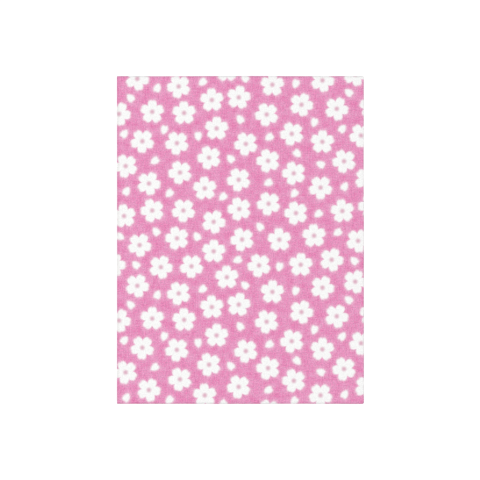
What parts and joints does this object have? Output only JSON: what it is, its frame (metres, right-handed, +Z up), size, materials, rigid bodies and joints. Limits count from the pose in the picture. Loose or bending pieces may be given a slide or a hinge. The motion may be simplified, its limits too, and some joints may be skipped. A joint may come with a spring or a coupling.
{
  "type": "folded tenugui towel",
  "caption": "Thin printed cotton hand towel folded into a flat rectangle of layers, with a scattered small-flower print in white on pink.",
  "frame": {"origin": "middle of the underside of the folded towel, on the surface that it lies on", "axes": "+Z up out of the printed face that shows; +Y along the length, towards the end with the two raw cut ends; +X across the width, towards the fold down the middle of the cloth, with the open selvedges at -X"},
  "size_m": [0.17, 0.226, 0.0101],
  "materials": {
    "printed_cotton": "matt plain-weave cotton, dyed rose pink with the flowers and loose petals left white"
  },
  "bodies": {
    "root": {"folded_cloth": "printed_cotton"}
  },
  "joints": []
}
